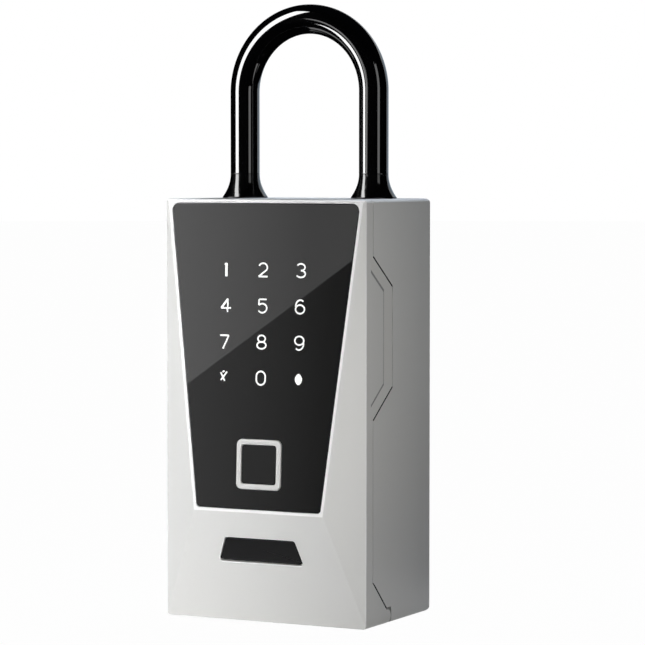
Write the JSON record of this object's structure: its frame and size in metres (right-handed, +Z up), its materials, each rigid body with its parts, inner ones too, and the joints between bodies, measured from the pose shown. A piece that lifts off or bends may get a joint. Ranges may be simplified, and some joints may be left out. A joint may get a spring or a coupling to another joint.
{
  "type": "key lockbox",
  "caption": "Key lockbox with a faceted front door, black glass keypad, fingerprint reader, side grips and a lift-out shackle; the door drops open on a base hinge to hold keys.",
  "frame": {"origin": "middle of the bounding box, at the base plane", "axes": "+Z up along the height, -Y out of the keypad front, +X to the right seen from the front"},
  "size_m": [0.064, 0.0466, 0.176],
  "materials": {
    "satin_shell": "satin",
    "dark_glass": "gloss",
    "reader_frame": "satin",
    "reader_face": "matte",
    "black_sleeve": "gloss",
    "black_boot": "satin",
    "shackle_steel": "satin",
    "plated_steel": "satin",
    "brass": "satin",
    "spring_contact": "satin",
    "black_plastic": "matte",
    "black_rubber": "matte",
    "circuit_board": "satin",
    "cell_wrap": "gloss",
    "motor_steel": "satin"
  },
  "bodies": {
    "body": {"body_shell": "satin_shell", "shackle_bushes": "plated_steel", "lock_cover": "black_plastic", "lock_cover_screws": "plated_steel", "strike_plate": "plated_steel", "strike_screws": "plated_steel", "key_hook": "plated_steel", "key_hook_screws": "plated_steel", "hinge_pins": "plated_steel"},
    "shackle": {"shackle_bar": "shackle_steel", "shackle_sleeve": "black_sleeve", "shackle_boots": "black_boot"},
    "shackle_lock": {"shackle_lock_slider": "brass"},
    "door": {"door_shell": "satin_shell", "glass_panel": "dark_glass", "touch_board": "circuit_board", "fingerprint_bezel": "reader_frame", "fingerprint_sensor": "reader_face", "door_seal": "black_rubber", "door_liner": "black_plastic", "liner_screws": "plated_steel", "battery_cells": "cell_wrap", "battery_contacts": "spring_contact", "latch_motor": "motor_steel", "usb_socket": "motor_steel", "usb_board": "circuit_board", "port_cover_pin": "plated_steel"},
    "bolt": {"latch_bolt": "plated_steel"},
    "pinion": {"latch_pinion": "brass"},
    "battery_lid": {"battery_cover": "black_plastic"},
    "port_lid": {"port_cover": "black_plastic"}
  },
  "joints": [
    {"name": "door_swing", "type": "hinge", "parent": "body", "child": "door", "pos_m": [0, -0.0051, 0.002], "axis": [1, 0, 0], "range_deg": [0, 95]},
    {"name": "shackle_lift", "type": "slide", "parent": "body", "child": "shackle", "axis": [0, 0, 1], "range_m": [0, 0.02]},
    {"name": "shackle_lock_slide", "type": "slide", "parent": "body", "child": "shackle_lock", "axis": [0, 1, 0], "range_m": [0, 0.005]},
    {"name": "bolt_throw", "type": "slide", "parent": "door", "child": "bolt", "axis": [0, 0, 1], "range_m": [0, 0.0035]},
    {"name": "pinion_turn", "type": "hinge", "parent": "door", "child": "pinion", "pos_m": [0, -0.0115, 0.103], "axis": [1, 0, 0], "range_deg": [0, 67]},
    {"name": "battery_cover_lift", "type": "slide", "parent": "door", "child": "battery_lid", "axis": [0, 1, 0], "range_m": [0, 0.012]},
    {"name": "port_cover_flip", "type": "hinge", "parent": "door", "child": "port_lid", "pos_m": [0, -0.02051, 0.01808], "axis": [1, 0, 0], "range_deg": [0, 90]}
  ],
  "couplings": [
    {"joint": "pinion_turn", "follows": "bolt_throw", "rad_per_m": 333.33}
  ]
}
